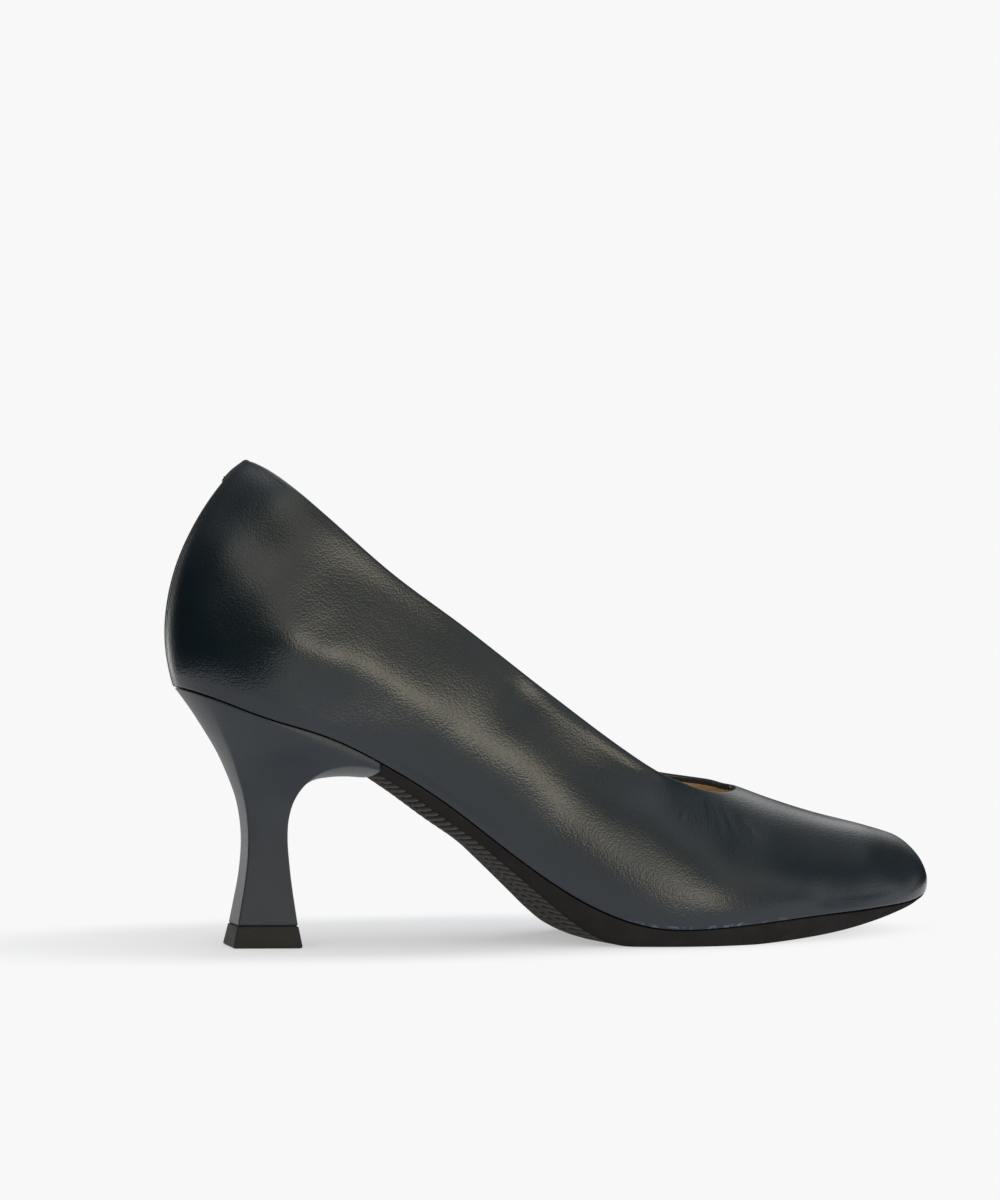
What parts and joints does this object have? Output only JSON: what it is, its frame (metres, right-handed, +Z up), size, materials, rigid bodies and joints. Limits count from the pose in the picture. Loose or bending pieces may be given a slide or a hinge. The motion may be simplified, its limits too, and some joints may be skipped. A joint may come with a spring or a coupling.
{
  "type": "high heel court shoe",
  "caption": "Plain leather court shoe for the right foot with a hollow upper, low rounded throat, tall waisted heel, small top lift and thin rubber outsole.",
  "frame": {"origin": "middle of the shoe's box, on the floor", "axes": "+X from the heel to the toe, +Y to the medial side, +Z up"},
  "size_m": [0.2294, 0.076, 0.1363],
  "materials": {
    "navy_leather": "fine pebbled grain, soft sheen",
    "navy_cover": "smooth, matt",
    "tan_sock": "smooth, matt",
    "black_rubber": "moulded, matt"
  },
  "bodies": {
    "root": {"upper": "navy_leather", "back_tab": "navy_leather", "insole": "tan_sock", "outsole": "black_rubber", "heel": "navy_cover", "top_lift": "black_rubber"}
  },
  "joints": []
}
